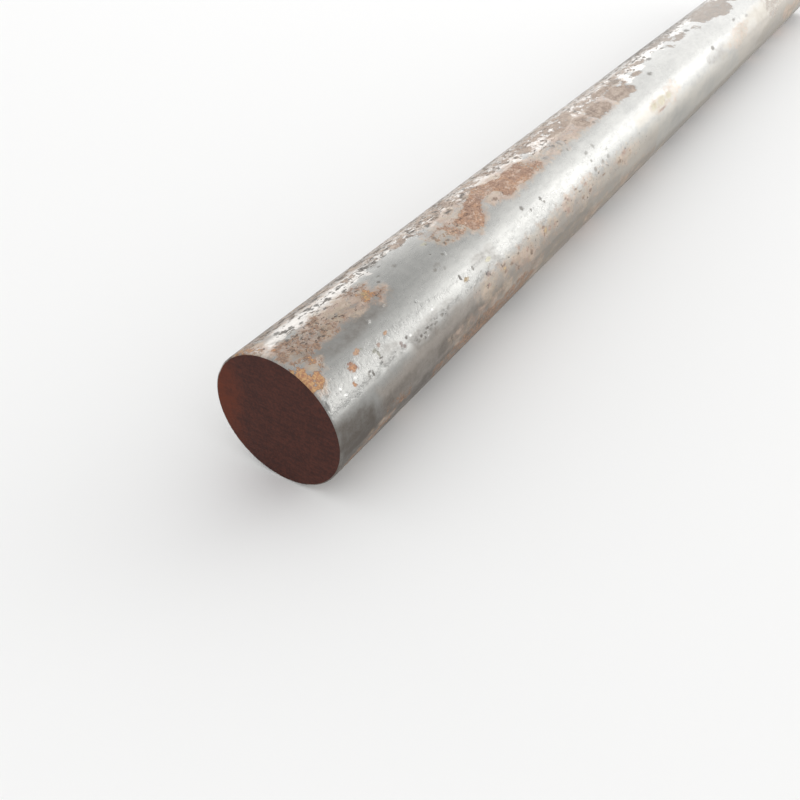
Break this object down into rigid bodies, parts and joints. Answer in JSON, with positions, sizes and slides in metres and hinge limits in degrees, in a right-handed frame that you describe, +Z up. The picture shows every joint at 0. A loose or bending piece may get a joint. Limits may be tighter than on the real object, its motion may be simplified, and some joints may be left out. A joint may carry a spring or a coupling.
{
  "type": "round metal bar",
  "caption": "Solid hot-rolled round steel bar with worn mill scale and patchy rust, sawn square at both ends, as stock for turning, machining or welding.",
  "frame": {"origin": "on the ground, under the middle of the lying bar", "axes": "+X along the bar from the sawn end that the picture shows to the far end, +Z up"},
  "size_m": [1, 0.0749, 0.075],
  "materials": {
    "rolled_steel": "satin"
  },
  "bodies": {
    "root": {"round_bar": "rolled_steel"}
  },
  "joints": []
}
